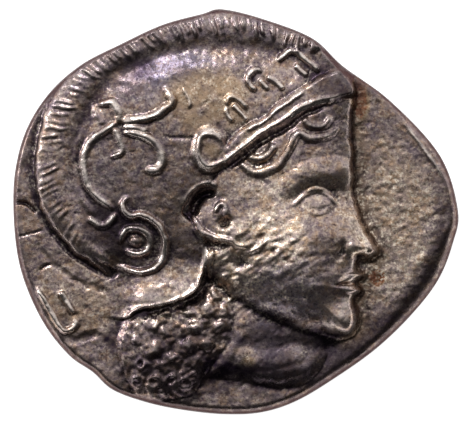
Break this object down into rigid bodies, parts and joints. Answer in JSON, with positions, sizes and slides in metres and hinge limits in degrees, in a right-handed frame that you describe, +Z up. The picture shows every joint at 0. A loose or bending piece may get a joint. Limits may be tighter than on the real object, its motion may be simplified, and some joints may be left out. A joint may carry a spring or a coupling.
{
  "type": "silver drachm",
  "caption": "Struck silver coin on an uneven oval flan, with a crested helmeted head in high relief and a shallow sunk square with an owl on the back.",
  "frame": {"origin": "middle of the coin's box, on the plane it lies on", "axes": "+X the way the head looks, +Y to the top of the head, +Z up out of the head side"},
  "size_m": [0.0156, 0.0142, 0.0035],
  "materials": {
    "silver": "struck, worn and darkly toned"
  },
  "bodies": {
    "root": {"coin": "silver"}
  },
  "joints": []
}
